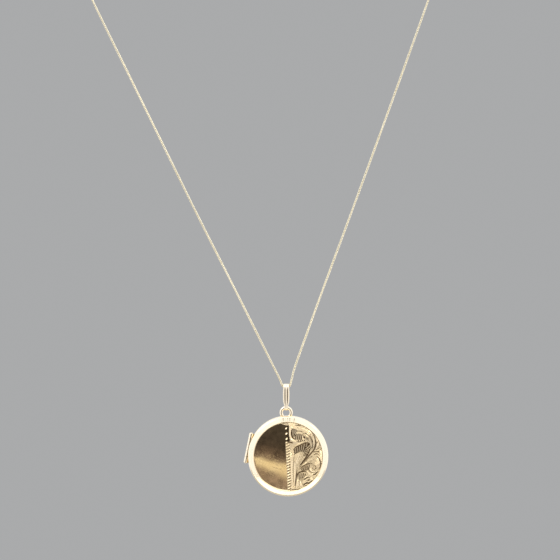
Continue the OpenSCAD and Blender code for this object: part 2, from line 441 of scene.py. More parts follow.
def tube_faces(rows, count, closed):
    """The side faces between rows of count points each, the last row joined to the first if closed."""
    faces = []
    for i in range(rows if closed else rows - 1):
        here = i * count
        there = ((i + 1) % rows) * count
        for k in range(count):
            n = (k + 1) % count
            faces.append((here + k, here + n, there + n, there + k))
    return faces


def sweep(path, section, up=(0, 0, 1), closed=False, scale=None):
    """Sweeps a closed section of (side, up) points along a path; open paths are capped."""
    _, sides, ups = frames_along(path, up, closed)
    section = np.asarray(section, float)
    count = len(section)
    rows = []
    for i, point in enumerate(np.asarray(path, float)):
        grow = 1 if scale is None else scale[i]
        rows.append(point + grow * (section[:, :1] * sides[i] + section[:, 1:] * ups[i]))
    verts = np.vstack(rows)
    faces = tube_faces(len(rows), count, closed)
    if not closed:
        faces.append(tuple(range(count - 1, -1, -1)))
        faces.append(tuple(range(len(verts) - count, len(verts))))
    return verts, faces


def round_section(radius, count=24):
    angles = np.linspace(0, 2 * pi, count, endpoint=False)
    return [(radius * cos(a), radius * sin(a)) for a in angles]


def circle_path(radius, start=0.0, end=360.0, count=96):
    """Points of a circle or an arc in the plane Z = 0."""
    whole = abs(end - start) >= 360
    return [(radius * cos(a), radius * sin(a), 0)
            for a in np.radians(np.linspace(start, end, count, endpoint=not whole))]


def torus(radius, wire, count=96, sides=32):
    return sweep(circle_path(radius, count=count), round_section(wire, sides), closed=True)


def box_mesh(low, high):
    verts = [(x, y, z) for x in (low[0], high[0]) for y in (low[1], high[1]) for z in (low[2], high[2])]
    faces = [(0, 1, 3, 2), (4, 6, 7, 5), (0, 4, 5, 1), (2, 3, 7, 6), (0, 2, 6, 4), (1, 5, 7, 3)]
    return np.array(verts, float), faces


def ring_profile(inner, outer, near, far, edge=0.05):
    """A square-cornered ring with small worn edges."""
    return [(inner, near + edge), (inner + edge, near), (outer - edge, near), (outer, near + edge),
            (outer, far - edge), (outer - edge, far), (inner + edge, far), (inner, far - edge)]


def cut_away(piece, *cutters):
    """Cuts closed meshes out of a piece."""
    for verts, faces in cutters:
        tool = make_piece("cutter", verts, faces, polished)
        cut = piece.modifiers.new("cut", "BOOLEAN")
        cut.operation = "DIFFERENCE"
        cut.solver = "EXACT"
        cut.object = tool
        graph = bpy.context.evaluated_depsgraph_get()
        mesh = bpy.data.meshes.new_from_object(piece.evaluated_get(graph))
        piece.modifiers.remove(cut)
        old = piece.data
        piece.data = mesh
        bpy.data.meshes.remove(old)
        bpy.data.objects.remove(tool)
    piece.data.shade_smooth()
    piece.data.set_sharp_from_angle(angle=radians(40))


def set_painted_shade(piece, tone):
    """How much painted shade darkens each point, as shade and dark reflection painted into its cuts and
    hollows.
    """
    piece.data.attributes.new("painted_cut_shade", "FLOAT", "POINT").data.foreach_set("value", np.asarray(tone, float))


def spline(points, steps):
    """A Catmull-Rom curve through the points, with steps samples to each stretch."""
    p = np.asarray(points, float)
    padded = np.vstack([p[:1], p, p[-1:]])
    t = np.linspace(0, 1, steps, endpoint=False)[:, None]
    parts = []
    for a, b, c, d in zip(padded, padded[1:], padded[2:], padded[3:]):
        parts.append(0.5 * (2 * b + (c - a) * t + (2 * a - 5 * b + 4 * c - d) * t**2
                            + (3 * b - a - 3 * c + d) * t**3))
    return np.vstack(parts + [p[-1:]])


def even(points, spacing):
    """Points along a polyline at even steps, near the given spacing."""
    points = np.asarray(points, float)
    lengths = np.r_[0, np.cumsum(np.linalg.norm(np.diff(points, axis=0), axis=1))]
    count = max(2, round(lengths[-1] / spacing) + 1)
    at = np.linspace(0, lengths[-1], count)
    return np.stack([np.interp(at, lengths, points[:, k]) for k in range(points.shape[1])], axis=1)


# ---- chain: twisted curb links along the route ----


def curb_link():
    """One link, long axis X, flat in XY, its two ends twisted opposite ways so that the row lies flat."""
    half_length = LINK_LENGTH / 2 - LINK_WIRE_R
    half_width = CHAIN_W / 2 - LINK_WIRE_R
    path = []
    for t in np.linspace(0, 2 * pi, 22, endpoint=False):
        twist = radians(LINK_TWIST) * cos(t)
        side = half_width * sin(t)
        path.append((half_length * cos(t), side * cos(twist), side * sin(twist)))
    return sweep(path, round_section(LINK_WIRE_R, 8), closed=True)


def past(end, before):
    """A point that hooks the chain's last link into the ring beyond its end."""
    return end + END_HOOK * (end - before) / np.linalg.norm(end - before)


def chain():
    """The whole chain as one piece, and its centre line in metres."""
    line = np.array([(x, 0, z) for x, z in spline(ROUTE, 24)])
    centres = even(np.vstack([past(line[0], line[1]), line, past(line[-1], line[-2])]), LINK_PITCH)
    tangents, sides, ups = frames_along(centres, (0, 1, 0), False)
    link_verts, link_faces = curb_link()
    verts = []
    faces = []
    for i, centre in enumerate(centres):
        roll = radians(34 * sin(i / 19) + 7 * sin(i / 5.3) + 4 * sin(i * 2.4))
        side = cos(roll) * sides[i] + sin(roll) * ups[i]
        up = cos(roll) * ups[i] - sin(roll) * sides[i]
        faces += [[k + len(verts) * len(link_verts) for k in face] for face in link_faces]
        along = link_verts[:, :1] * tangents[i]
        verts.append(centre + along + link_verts[:, 1:2] * side + link_verts[:, 2:] * up)
    piece = make_piece("curb_chain", np.vstack(verts), faces, link_gold, "chain", "chain_gold", ["chain"], 60)
    return piece, even(line, 2.0) * MM


chain_piece, chain_path = chain()

# ---- clasp and the rings that end the chain ----


def end_rings():
    """The two rings that end the chain and the clasp's eye."""
    jump_ring = torus(JUMP_R, JUMP_WIRE_R, 64, 20)
    eye_ring = torus(EYE_R, JUMP_WIRE_R, 64, 20)
    rings = (
        ("end_ring_left", move(EYE_X - 0.05 - JUMP_R, 0, 0), jump_ring, "chain_end_ring_left"),
        ("end_ring_right", move(TAG_END_X + 0.1 + JUMP_R, 0, 0) @ IN_LOOP, jump_ring, "chain_end_ring_right"),
        ("clasp_eye_ring", move(EYE_X, 0, 0) @ IN_LOOP, eye_ring, "clasp_eye"))
    return [make_piece(name, *placed(place, ring), link_gold, "chain", "chain_gold", [node])
            for name, place, ring, node in rings]


def clasp_body():
    """The clasp's open tube, with the bolt's bore, the socket opposite and the thumb's slot."""
    tube = sweep(circle_path(CLASP_R, *TUBE_ARC, 180), round_section(CLASP_TUBE_R, 40))
    body = make_piece("clasp_ring", *placed(IN_LOOP, tube), highlight_pale_gold, "chain", "polished_gold",
                      ["clasp_body"])
    bore = sweep(circle_path(CLASP_R, *BORE_ARC, 90), round_section(BORE_R, 24))
    socket = sweep(circle_path(CLASP_R, *SOCKET_ARC, 8), round_section(BORE_R, 24))
    w = SLOT_HALF_W
    slot = sweep(circle_path(CLASP_R + 0.5, *SLOT_ARC, 48), [(-0.5, -w), (0.5, -w), (0.5, w), (-0.5, w)])
    cut_away(body, *(placed(IN_LOOP, cutter) for cutter in (bore, socket, slot)))
    return body


def clasp_bolt():
    """The sliding bolt with its rounded nose and the thumb piece that stands out of the slot."""
    taper = np.ones(60)
    taper[:4] = (0.35, 0.75, 0.92, 0.99)
    bolt = sweep(circle_path(CLASP_R, *BOLT_ARC, 60), round_section(BOLT_R, 24), scale=taper)
    thumb_profile = [(0, 0), (0.18, 0), (0.16, 0.7), (0.2, 0.98), (0.2, 1.08), (0.14, 1.15), (0, 1.15)]
    thumb_place = turn("z", THUMB_ANGLE) @ move(CLASP_R, 0, 0) @ turn("y", 90)
    whole = joined(bolt, placed(thumb_place, lathe(thumb_profile, 32)))
    return make_piece("clasp_sliding_bolt", *placed(IN_LOOP, whole), link_gold, "clasp_bolt", "chain_gold",
                      ["clasp_bolt"])


def clasp_spring():
    """The coil spring that lies behind the bolt in the bore."""
    angles = np.radians(np.linspace(*SPRING_ARC, 420))
    coil = np.linspace(0, 2 * pi * SPRING_TURNS, 420)
    reach = CLASP_R + SPRING_R * np.cos(coil)
    wound = np.stack([reach * np.cos(angles), reach * np.sin(angles), SPRING_R * np.sin(coil)], axis=1)
    wire = sweep(wound, round_section(SPRING_WIRE_R, 8))
    return make_piece("clasp_coil_spring", *placed(IN_LOOP, wire), steel, "chain", "spring_steel",
                      ["clasp_spring"])


def clasp_tag():
    """A flat tag with a large hole for the bolt ring and a small one for the chain's end ring."""
    plates = [placed(move(x, 0, 0), lathe(ring_profile(hole, hole + 0.4, -TAG_HALF_T, TAG_HALF_T, 0.06), 64))
              for x, hole in ((TAG_X, 0.75), (TAG_END_X, 0.4))]
    bridge = box_mesh((TAG_X + 0.98, -0.42, -0.13), (TAG_END_X - 0.55, 0.42, 0.13))
    return make_piece("clasp_tag_plate", *joined(*plates, bridge), highlight_pale_gold, "chain", "chain_gold",
                      ["clasp_tag"])


clasp = end_rings() + [clasp_body(), clasp_bolt(), clasp_spring(), clasp_tag()]

# ---- covers ----


def border_profile(depth, inset=0.0):
    """Rim, rounded edge and sloping border of a cover, in to the edge of its disc, grown inward by inset."""
    bend = EDGE_R - inset
    tangent = 90 - degrees(BORDER_SLOPE)
    inner = (DISC_R, depth - inset / cos(BORDER_SLOPE))
    return arc(EDGE_MID, depth - EDGE_RISE, bend, 0, tangent, 24) + [inner]


def dome_height(depth, radius, inset=0.0):
    """The domed disc's height above the seam, on a surface that lies inset below its outer one."""
    return depth + DOME_RISE - DOME_R + np.sqrt((DOME_R - inset) ** 2 - np.asarray(radius, float) ** 2)


def cylinder(radius, low, high):
    return lathe([(0, low), (radius, low), (radius, high), (0, high)], 96)


def hinge_cutter():
    """The room that the hinge's barrel takes from the rim."""
    return placed(ON_HINGE, cylinder(NOTCH_R, -NOTCH_HALF_LEN, NOTCH_HALF_LEN))


def nick_cutter():
    """The shallow nick for a fingernail, opposite the hinge."""
    across = ON_CASE @ turn("y", 180 - HINGE_ANGLE) @ move(NICK_MID, 0, 0) @ turn("x", 90)
    return placed(across, cylinder(NICK_R, -0.2, 0.5))


def border_height(radius):
    """The front border's height above the seam."""
    return FRONT_DEPTH - (radius - DISC_R) * tan(BORDER_SLOPE)


def ray_cuts(verts):
    """How strongly each point of the front border lies in a short ray cut under the hanging ring."""
    x, z, height = verts.T
    radius = np.hypot(x, z)
    angle = np.degrees(np.arctan2(x, z))
    ray = 1 - np.abs((angle / RAY_STEP) % 1 - 0.5) * 2
    ends = np.clip((radius - DISC_R - 0.05) / 0.2, 0, 1) * np.clip((RAY_END_R - radius) / 0.25, 0, 1)
    spread = np.clip((angle - RAY_FROM) / 2, 0, 1) * np.clip((RAY_TO - angle) / 3, 0, 1)
    on_top = np.abs(height - border_height(radius)) < 0.02
    uneven = 0.65 + 0.35 * np.sin(2.4 * np.floor(angle / RAY_STEP))
    return ray * ends * spread * on_top * uneven


def front_border():
    """The front cover's rim and sloping border, with its rays, the hinge's notch and the nail nick."""
    edge = border_profile(FRONT_DEPTH)
    slope = [(r, border_height(r)) for r in np.linspace(edge[-2][0], DISC_R, 14)[1:]]
    profile = [(CASE_R - 0.05, SEAM_GAP), (CASE_R, 0.05)] + edge[:-1] + slope
    profile += border_profile(FRONT_DEPTH, WALL)[::-1] + [(CASE_R - WALL, SEAM_GAP)]
    verts, faces = lathe(profile, 864)
    rays = ray_cuts(verts)
    verts[:, 2] -= RAY_DEPTH * rays
    piece = make_piece("front_border", *placed(FRONT_SIDE, (verts, faces)), highlight_pale_gold,
                       "case_front", "polished_gold", ["front_cover"])
    # the ray cuts are painted dark, as shade in them
    set_painted_shade(piece, RAY_PAINTED_SHADE * rays)
    cut_away(piece, hinge_cutter(), nick_cutter())


def back_shell():
    """The plain back cover, its disc domed like the front one."""
    depth = BACK_DEPTH
    radii = np.linspace(0, DISC_R, 40)[:-1]
    outer = list(zip(radii, dome_height(depth, radii)))
    inner = list(zip(radii, dome_height(depth, radii, WALL)))
    profile = [(CASE_R - 0.05, SEAM_GAP), (CASE_R, 0.05)] + border_profile(depth) + outer[::-1]
    profile += inner + border_profile(depth, WALL)[::-1] + [(CASE_R - WALL, SEAM_GAP)]
    piece = make_piece("back_shell", *placed(BACK_SIDE, lathe(profile, 288)), polished,
                       "case_back", "polished_gold", ["back_cover"])
    cut_away(piece, hinge_cutter())


# ---- engraving on the right half of the front disc, in millimetres from its middle ----

def spiral(x, z, start_r, end_r, start, end, count=14):
    """Points of a spiral round (x, z)."""
    t = np.linspace(0, 1, count)
    angles = np.radians(start + (end - start) * t)
    radii = start_r + (end_r - start_r) * t
    return [(x + r * cos(a), z + r * sin(a)) for r, a in zip(radii, angles)]


class Engraving:
    """Maps of the disc: how deep the strokes and the ground between them are cut, and how much painted shade
    darkens them.
    """

    def __init__(self):
        line = (np.arange(2 * HALF + 1) - HALF) * CELL
        self.x, self.z = np.meshgrid(line, line)
        self.strokes = np.zeros_like(self.x)
        self.cover = np.zeros_like(self.x)
        self.ground = np.zeros_like(self.x)
        self.tone = np.zeros_like(self.x)
        self.slant = 0.0

    def cut_ground(self, centres, spacing, depth, tone, start_x, end_r):
        """Fine ring cuts round the nearest of several centres, over the half beyond start_x."""
        reaches = [np.hypot(self.x - x, self.z - z) for x, z in centres]
        reach = np.min(reaches, axis=0) + 0.05 * np.sin(1.7 * self.x + 2.3 * self.z)
        rings = 2 * np.abs(reach / spacing % 1 - 0.5)
        strength = 0.86 + 0.14 * np.sin(0.9 * self.x + 0.5) * np.sin(0.8 * self.z + 1.0)
        radius = np.hypot(self.x, self.z)
        half = np.clip((end_r - radius) / 0.2, 0, 1) * np.clip((self.x - start_x) / 0.2, 0, 1)
        self.ground = rings * depth * strength * half
        # painted shade over the cut ground, fading out near the disc's edge
        self.tone = tone * half * np.clip((end_r - 0.5 - radius) / 1.6, 0, 1)

    def cut(self, points, width, depth, tone=0.0, tips=(1, 1), lean=0.0, steps=12):
        """A V cut along a smooth line. It thins at the ends that tips names. Lean makes one side steeper."""
        c = cos(radians(self.slant))
        s = sin(radians(self.slant))
        line = even(spline(np.asarray(points, float) @ np.array([[c, -s], [s, c]]), steps), 0.03)
        along = np.linspace(0, 1, len(line))
        thick = np.ones(len(line))
        if tips[0]:
            thick *= np.clip(along / 0.35, 0.05, 1) ** 0.6
        if tips[1]:
            thick *= np.clip((1 - along) / 0.35, 0.05, 1) ** 0.6
        headings = np.gradient(line, axis=0)
        headings /= np.linalg.norm(headings, axis=1, keepdims=True)
        margin = width * (1 + abs(lean)) / 2 + 2 * CELL
        low = np.clip(((line.min(axis=0) - margin) / CELL).astype(int) + HALF, 0, 2 * HALF)
        high = np.clip(((line.max(axis=0) + margin) / CELL).astype(int) + HALF, 0, 2 * HALF)
        box = (slice(low[1], high[1] + 1), slice(low[0], high[0] + 1))
        near = np.zeros_like(self.x[box])
        deep = np.zeros_like(near)
        for (x, z), (hx, hz), grow in zip(line, headings, thick):
            reach = int(margin / CELL)
            i = int(round(z / CELL)) + HALF - low[1]
            k = int(round(x / CELL)) + HALF - low[0]
            spot = (slice(max(i - reach, 0), i + reach + 1), slice(max(k - reach, 0), k + reach + 1))
            dx = self.x[box][spot] - x
            dz = self.z[box][spot] - z
            aside = dz * hx - dx * hz
            half = width * grow / 2 * np.where(aside > 0, 1 + lean, 1 - lean)
            inside = np.clip(1 - np.hypot(aside, (dx * hx + dz * hz) * 0.5) / np.maximum(half, 1e-6), 0, 1)
            near[spot] = np.maximum(near[spot], inside)
            deep[spot] = np.maximum(deep[spot], depth * grow * inside)
        over = np.minimum(near * 2.6, 1)
        self.strokes[box] = np.maximum(self.strokes[box] * (1 - over), deep)
        self.cover[box] = np.maximum(self.cover[box], near)
        # the stroke's painted shade takes the place of what lay under it
        self.tone[box] = self.tone[box] * (1 - over) + tone * over

    def shade(self, first, last, count, width, depth, tone=0.0, tips=(1, 1), bow=0.0):
        """Close cuts that run from one edge line to another, as leaves are shaded."""
        starts = even(spline(first, 12), 0.02)
        ends = even(spline(last, 12), 0.02)
        for number, t in enumerate(np.linspace(0, 1, count)):
            a = starts[int(t * (len(starts) - 1))]
            b = ends[int(t * (len(ends) - 1))]
            across = np.array([a[1] - b[1], b[0] - a[0]]) * bow
            dark = tone * (1.0, 0.45)[number % 2]
            self.cut([a, (a + b) / 2 + across, b], width, depth, dark, tips, steps=6)

    def depth(self):
        """How deep the disc is cut. The ground stays clear of the strokes."""
        return np.maximum(self.strokes, self.ground * (1 - np.clip(self.cover * 4, 0, 1)))


def sample(field, x, z):
    """A map's values at points, by bilinear interpolation."""
    u = np.clip(x / CELL + HALF, 0, 2 * HALF - 0.001)
    v = np.clip(z / CELL + HALF, 0, 2 * HALF - 0.001)
    k = u.astype(int)
    i = v.astype(int)
    du = u - k
    dv = v - i
    return ((field[i, k] * (1 - du) + field[i, k + 1] * du) * (1 - dv)
            + (field[i + 1, k] * (1 - du) + field[i + 1, k + 1] * du) * dv)


def engrave_border(cut):
    """An upright rope of slanting cuts, bright and painted dark in turn, under a row of beads and a small
    fan.
    """
    for i in range(18):
        z = -10.2 + i * 0.84
        cut([(-0.36, z), (0.36, z + 0.26)], 0.4, 0.1, 0.75, (0, 0))
        cut([(-0.36, z + 0.42), (0.36, z + 0.68)], 0.36, 0.12, 0.0, (0, 0))
    cut([(0.28, 10.0), (0.28, 7.5), (0.28, 4.9)], 1.0, 0.04, 0.4, (0, 0))
    for i in range(3):
        z = 5.6 + i * 1.6
        cut([(-0.28, z), (-0.16, z + 0.1)], 0.4, 0.13, 0.0, (0, 0))
    for i in range(6):
        fan = [(0.5 - i * 0.42, 10.6), (0.35 - i * 0.22, 9.7 + i * 0.08)]
        cut(fan, 0.42, 0.12, (0.15, 0.7)[i % 2], (0, 1))


def engrave_stem(cut, shade):
    """A hooked stem at the top beside the border, with a pod painted dark and its seed in the crook."""
    shade([(1.2, 8.9), (2.0, 8.8), (2.8, 8.4)], [(1.3, 6.6), (1.8, 6.4), (2.3, 6.9)],
          8, 0.36, 0.09, 0.85, (1, 0))
    cut([(1.15, 8.8), (1.05, 7.4), (1.2, 6.4), (1.7, 5.7), (2.5, 5.3)], 0.5, 0.12, 1.0)
    cut([(0.62, 9.4), (0.56, 7.8), (0.6, 6.7), (1.0, 5.7), (1.9, 4.95), (3.1, 4.75)], 0.62, 0.15, 0.0, (0, 1))
    cut([(2.2, 7.75), (3.4, 8.0), (4.8, 7.6)], 0.3, 0.09, 0.7)
    shade([(2.45, 6.8), (3.5, 6.95), (4.6, 6.55)], [(2.3, 5.6), (3.3, 5.4), (4.3, 5.6)],
          8, 0.34, 0.1, 1.0, (0, 0))
    cut([(2.3, 7.2), (3.4, 7.5), (4.9, 7.1)], 0.45, 0.13)
    cut([(2.3, 5.35), (3.3, 5.15), (4.4, 5.3)], 0.3, 0.09)
    cut(spiral(4.95, 6.1, 0.5, 0.5, 0, 360), 0.34, 0.1, 0.0, (0, 0))
    cut([(4.9, 6.3), (5.0, 5.9)], 0.5, 0.12, 1.0, (0, 0))
    for x in (3.2, 3.85, 4.5, 5.1):
        cut([(x, 5.0), (x + 0.1, 4.7)], 0.42, 0.1, 0.9, (0, 0))
    cut([(0.45, 4.55), (1.2, 4.4)], 0.5, 0.12, 0.95, (0, 0))
    cut([(2.1, 9.75), (3.9, 9.7)], 0.36, 0.1, 0.9)


def engrave_upper_scroll(cut, shade):
    """Long lines that sweep over the top and down the right side, with a fringe along the disc's edge."""
    cut([(2.6, 9.0), (4.4, 8.8), (6.0, 7.9), (7.0, 6.9)], 0.55, 0.14)
    cut([(4.9, 7.4), (6.1, 6.9), (7.0, 5.9), (7.45, 4.6), (7.5, 3.3), (7.2, 2.3)], 0.4, 0.11, 0.8)
    cut([(6.3, 7.9), (7.3, 6.8), (7.95, 5.4), (8.0, 3.9), (7.6, 2.5)], 0.5, 0.13)
    cut([(6.5, 8.4), (7.75, 7.1), (8.45, 5.5), (8.55, 3.8), (8.05, 2.3), (7.2, 1.2), (5.9, -0.3), (4.7, -1.6),
         (3.4, -2.9)], 0.55, 0.15, 0.95)
    cut([(7.2, 8.1), (8.5, 6.6), (9.2, 4.8), (9.1, 3.2), (8.5, 2.0)], 0.9, 0.2)
    shade([(5.2, 6.6), (6.2, 5.9), (6.7, 4.9)], [(5.5, 5.5), (5.9, 5.0), (6.1, 4.5)], 8, 0.3, 0.06, 0.25)
    for place, tone in ((14, 0.8), (21, 0.65), (28, 0.5), (35, 0.35), (42, 0.2)):
        fringe = [(r * cos(a), r * sin(a))
                  for r, a in ((9.5, radians(place - 4)), (10.55, radians(place)))]
        cut(fringe, 0.34, 0.08, tone, (1, 0))
    for start, middle, end, tone in (
            ((7.7, 0.5), (8.8, 1.0), (9.9, 0.3), 0.85), ((7.6, 0.9), (8.8, 1.3), (10.1, 0.8), 0.0),
            ((7.6, 1.3), (8.7, 1.6), (10.2, 1.4), 0.85), ((8.0, 1.7), (9.0, 2.0), (10.2, 2.1), 0.0),
            ((8.3, 2.0), (9.2, 2.5), (10.1, 2.9), 0.8)):
        cut([start, middle, end], 0.38, 0.11, tone)


def engrave_leaf(cut, shade):
    """A broad leaf with a veined top painted dark, a bright folded middle and a long tail down beside the
    border.
    """
    cut([(1.4, 3.0), (2.8, 3.8), (4.6, 4.65), (6.0, 4.9)], 0.4, 0.11)
    shade([(1.8, 2.4), (3.4, 3.3), (5.0, 3.9), (6.2, 4.0)], [(2.0, 0.7), (3.2, 1.3), (4.2, 1.3), (5.0, 0.9)],
          13, 0.36, 0.08, 1.0, (0, 1), 0.05)
    shade([(6.5, 4.0), (6.9, 2.9), (6.5, 1.7), (5.8, 0.5)], [(5.3, 2.6), (5.2, 1.7), (4.8, 0.9), (4.3, 0.1)],
          10, 0.36, 0.08, 1.0, (0, 1), 0.05)
    cut([(1.5, 2.2), (2.3, 3.0), (3.4, 3.5), (4.9, 4.15), (6.2, 4.35), (6.9, 3.5)], 0.5, 0.13, 0.95)
    cut([(7.0, 2.9), (6.5, 1.5), (5.6, 0.0), (4.6, -1.4), (3.4, -2.9)], 0.5, 0.13, 0.95)
    shade([(4.7, 0.9), (4.8, 0.1), (4.3, -0.9), (3.5, -2.1)],
          [(3.9, 0.9), (3.6, -0.3), (3.1, -1.4), (2.6, -2.7)], 9, 0.34, 0.08, 0.4)
    cut([(3.5, 1.8), (3.1, 0.3), (2.4, -1.6), (1.9, -3.8)], 0.7, 0.16, 0.0, (1, 1), 0.3)
    cut([(3.5, 0.6), (3.2, -0.6), (2.6, -2.2), (2.1, -4.2)], 0.3, 0.08, 0.7)
    cut([(3.95, 1.3), (3.7, 0.1), (3.0, -1.5), (2.3, -3.4)], 0.5, 0.12)
    cut([(1.55, 2.0), (1.35, 0.0), (1.15, -2.0), (1.1, -4.5), (1.3, -7.2), (1.65, -9.9)], 0.55, 0.14)
    cut([(2.5, 0.4), (2.2, -1.4), (2.1, -3.6), (2.05, -6.6), (1.8, -9.8)], 0.5, 0.13)
    cut([(1.95, 1.5), (1.7, -1.2), (1.6, -4.4), (1.65, -8.2)], 0.26, 0.08, 0.55)
    cut([(2.8, -3.4), (2.6, -5.2), (2.35, -7.6), (2.15, -10.0)], 0.5, 0.13, 0.9)


def engrave_lower_scroll(cut, shade):
    """A scroll that rolls round an eye at the right, with stems fanning out of the leaf's foot."""
    cut([(3.4, -3.4), (5.0, -1.6), (6.6, -0.3), (7.8, 0.3)], 0.36, 0.1, 0.65)
    cut([(3.6, -3.3), (5.3, -1.9), (7.0, -0.9), (8.6, -0.5)], 0.42, 0.11)
    cut([(3.8, -3.2), (5.6, -2.0), (7.4, -1.3), (9.0, -1.3)], 0.32, 0.09, 0.4)
    cut([(3.3, -3.8), (4.4, -3.1), (5.5, -2.4), (6.8, -2.1), (8.1, -2.35)], 0.46, 0.12, 0.9)
    shade([(4.0, -3.7), (5.2, -3.0), (6.6, -2.6)], [(4.4, -4.3), (5.6, -4.3), (6.4, -3.9)],
          9, 0.34, 0.08, 0.8, (0, 1))
    cut(spiral(8.0, -3.4, 0.75, 0.2, 120, -300), 0.3, 0.08, 0.8)
    cut(spiral(8.0, -3.45, 1.75, 1.45, 165, 280), 0.32, 0.08, 0.8)
    cut(spiral(8.0, -3.45, 1.25, 0.95, 165, 320), 0.65, 0.15, 0.0)
    cut([(8.6, 0.3), (9.5, -0.4), (10.0, -1.6), (9.95, -3.0), (9.4, -4.1)], 0.46, 0.12, 0.9)


def engrave_shell(cut, shade):
    """A second scroll under the first, a bright shell, short leaves and plain ones down to the base line."""
    cut([(2.8, -6.5), (2.95, -5.4), (3.7, -4.7), (4.9, -4.5), (6.0, -4.9)], 0.55, 0.14, 0.95)
    cut([(5.9, -4.6), (6.9, -5.15), (7.8, -5.7)], 0.8, 0.17)
    cut([(7.5, -5.8), (8.5, -5.25), (9.3, -4.5)], 0.5, 0.13, 0.95)
    cut([(7.9, -6.4), (8.7, -5.9), (9.2, -5.2)], 0.4, 0.11)
    shade([(3.4, -5.6), (4.4, -5.2), (5.4, -5.4)], [(3.5, -7.2), (4.2, -6.8), (4.9, -6.6)],
          7, 0.36, 0.08, 0.9, (0, 1))
    for x, z in ((4.9, -6.7), (5.2, -7.5), (4.6, -8.4)):
        cut([(x, z), (x + 0.8, z + 0.7), (x + 1.6, z + 0.85)], 0.6, 0.15)
        cut([(x, z - 0.45), (x + 0.9, z + 0.2), (x + 1.8, z + 0.35)], 0.55, 0.1, 0.95)
    cut([(6.0, -8.4), (6.9, -7.9), (7.7, -7.2)], 0.6, 0.13, 1.0)
    cut([(4.7, -9.2), (5.6, -8.9), (6.2, -8.6)], 0.4, 0.11, 0.75)
    cut([(2.95, -6.9), (2.9, -8.2), (3.0, -9.7)], 0.65, 0.15, 0.0, (1, 1), 0.3)
    cut([(3.35, -7.2), (3.4, -8.4), (3.55, -9.6)], 0.28, 0.08, 0.6)
    cut([(3.8, -7.6), (3.9, -8.6), (4.1, -9.4)], 0.55, 0.13)
    cut([(0.5, -10.4), (1.6, -10.1), (3.0, -10.1), (4.3, -9.6)], 0.4, 0.11, 0.8)


def engrave():
    """The whole design. All but the border is drawn upright and turned with the hanging case."""
    cuts = Engraving()
    # in each cut and shade the number after the depth is its painted shade, 0 for a bright cut and 1 for the
    # darkest
    cuts.cut_ground([(4.5, 4.5), (8.0, -3.4), (4.0, -8.2)], spacing=0.4, depth=0.105, tone=0.2,
                    start_x=0.05, end_r=10.7)
    engrave_border(cuts.cut)
    cuts.slant = HANG_TILT
    engrave_stem(cuts.cut, cuts.shade)
    engrave_upper_scroll(cuts.cut, cuts.shade)
    engrave_leaf(cuts.cut, cuts.shade)
    engrave_lower_scroll(cuts.cut, cuts.shade)
    engrave_shell(cuts.cut, cuts.shade)
    return cuts


def disc_points(count):
    """A square grid of points drawn out evenly to a disc of radius 1, row by row."""
    line = np.linspace(-1, 1, count)
    a, b = np.meshgrid(line, line)
    wide = np.abs(a) >= np.abs(b)
    radius = np.where(wide, a, b)
    safe = np.where(radius == 0, 1, radius)
    angle = np.where(wide, pi / 4 * b / safe, pi / 2 - pi / 4 * a / safe)
    return radius * np.cos(angle), radius * np.sin(angle)


def engraved_disc():
    """The domed front disc with the design cut into it, and a flat underside."""
    count = 481
    edge = DISC_R + 0.1
    x, z = disc_points(count)
    x = x.ravel() * edge
    z = z.ravel() * edge
    cuts = engrave()
    radius = np.hypot(x, z)
    keep = np.clip((edge - 0.12 - radius) / 0.3, 0, 1)
    bend = np.maximum(radius - (DISC_R - EDGE_BEND), 0)
    height = dome_height(FRONT_DEPTH, radius) + EDGE_BEND_SLOPE / (2 * EDGE_BEND) * (EDGE_BEND**2 - bend**2)
    height -= sample(cuts.depth(), x, z) * keep
    verts = np.stack([x, z, height], axis=1)
    index = np.arange(count * count).reshape(count, count)
    corners = [index[:-1, :-1], index[:-1, 1:], index[1:, 1:], index[1:, :-1]]
    faces = np.stack(corners, axis=-1).reshape(-1, 4).tolist()
    rim = np.r_[index[0, :-1], index[:-1, -1], index[-1, :0:-1], index[:0:-1, 0]]
    under = FRONT_DEPTH - WALL
    low = np.stack([x[rim], z[rim], np.full(len(rim), under)], axis=1)
    start = len(verts)
    for k in range(len(rim)):
        n = (k + 1) % len(rim)
        faces.append((rim[n], rim[k], start + k, start + n))
    faces.append(tuple(range(start + len(rim) - 1, start - 1, -1)))
    verts = np.vstack([verts, low])
    piece = make_piece("engraved_front", *placed(FRONT_SIDE, (verts, faces)), engraved_gold,
                       "case_front", "polished_gold", ["front_cover"], 75)
    # the painted shade of the engraving, sampled onto the disc's upper face
    tone = np.zeros(len(verts))
    tone[:start] = sample(cuts.tone, x, z) * keep
    set_painted_shade(piece, tone)


front_border()
engraved_disc()
back_shell()

# ---- bands, photo frames, glasses and cards ----


def case_ring(name, side, profile, material, slot, node, notched=False):
    """A turned piece that lies in one half of the case."""
    body = "case_front" if side is FRONT_SIDE else "case_back"
    piece = make_piece(name, *placed(side, lathe(profile, 288)), material, body, slot, [node])
    if notched:
        cut_away(piece, hinge_cutter())
    return piece


def frame_profile():
    """A photo frame: flat flange, a step, and a rolled inner edge."""
    sight = FRAME_SIGHT_R
    seat = [(FRAME_R, 0.26), (FRAME_R, 0.58), (FRAME_R - 0.04, 0.62), (sight + 0.3, 0.62)]
    roll = arc(sight + 0.3, 0.41, 0.21, 90, 270, 14)[1:]
    face = [(sight + 0.55, 0.2), (sight + 0.62, 0.27), (FRAME_R - 0.55, 0.27), (FRAME_R - 0.5, 0.2),
            (FRAME_R - 0.06, 0.2)]
    return seat + roll + face


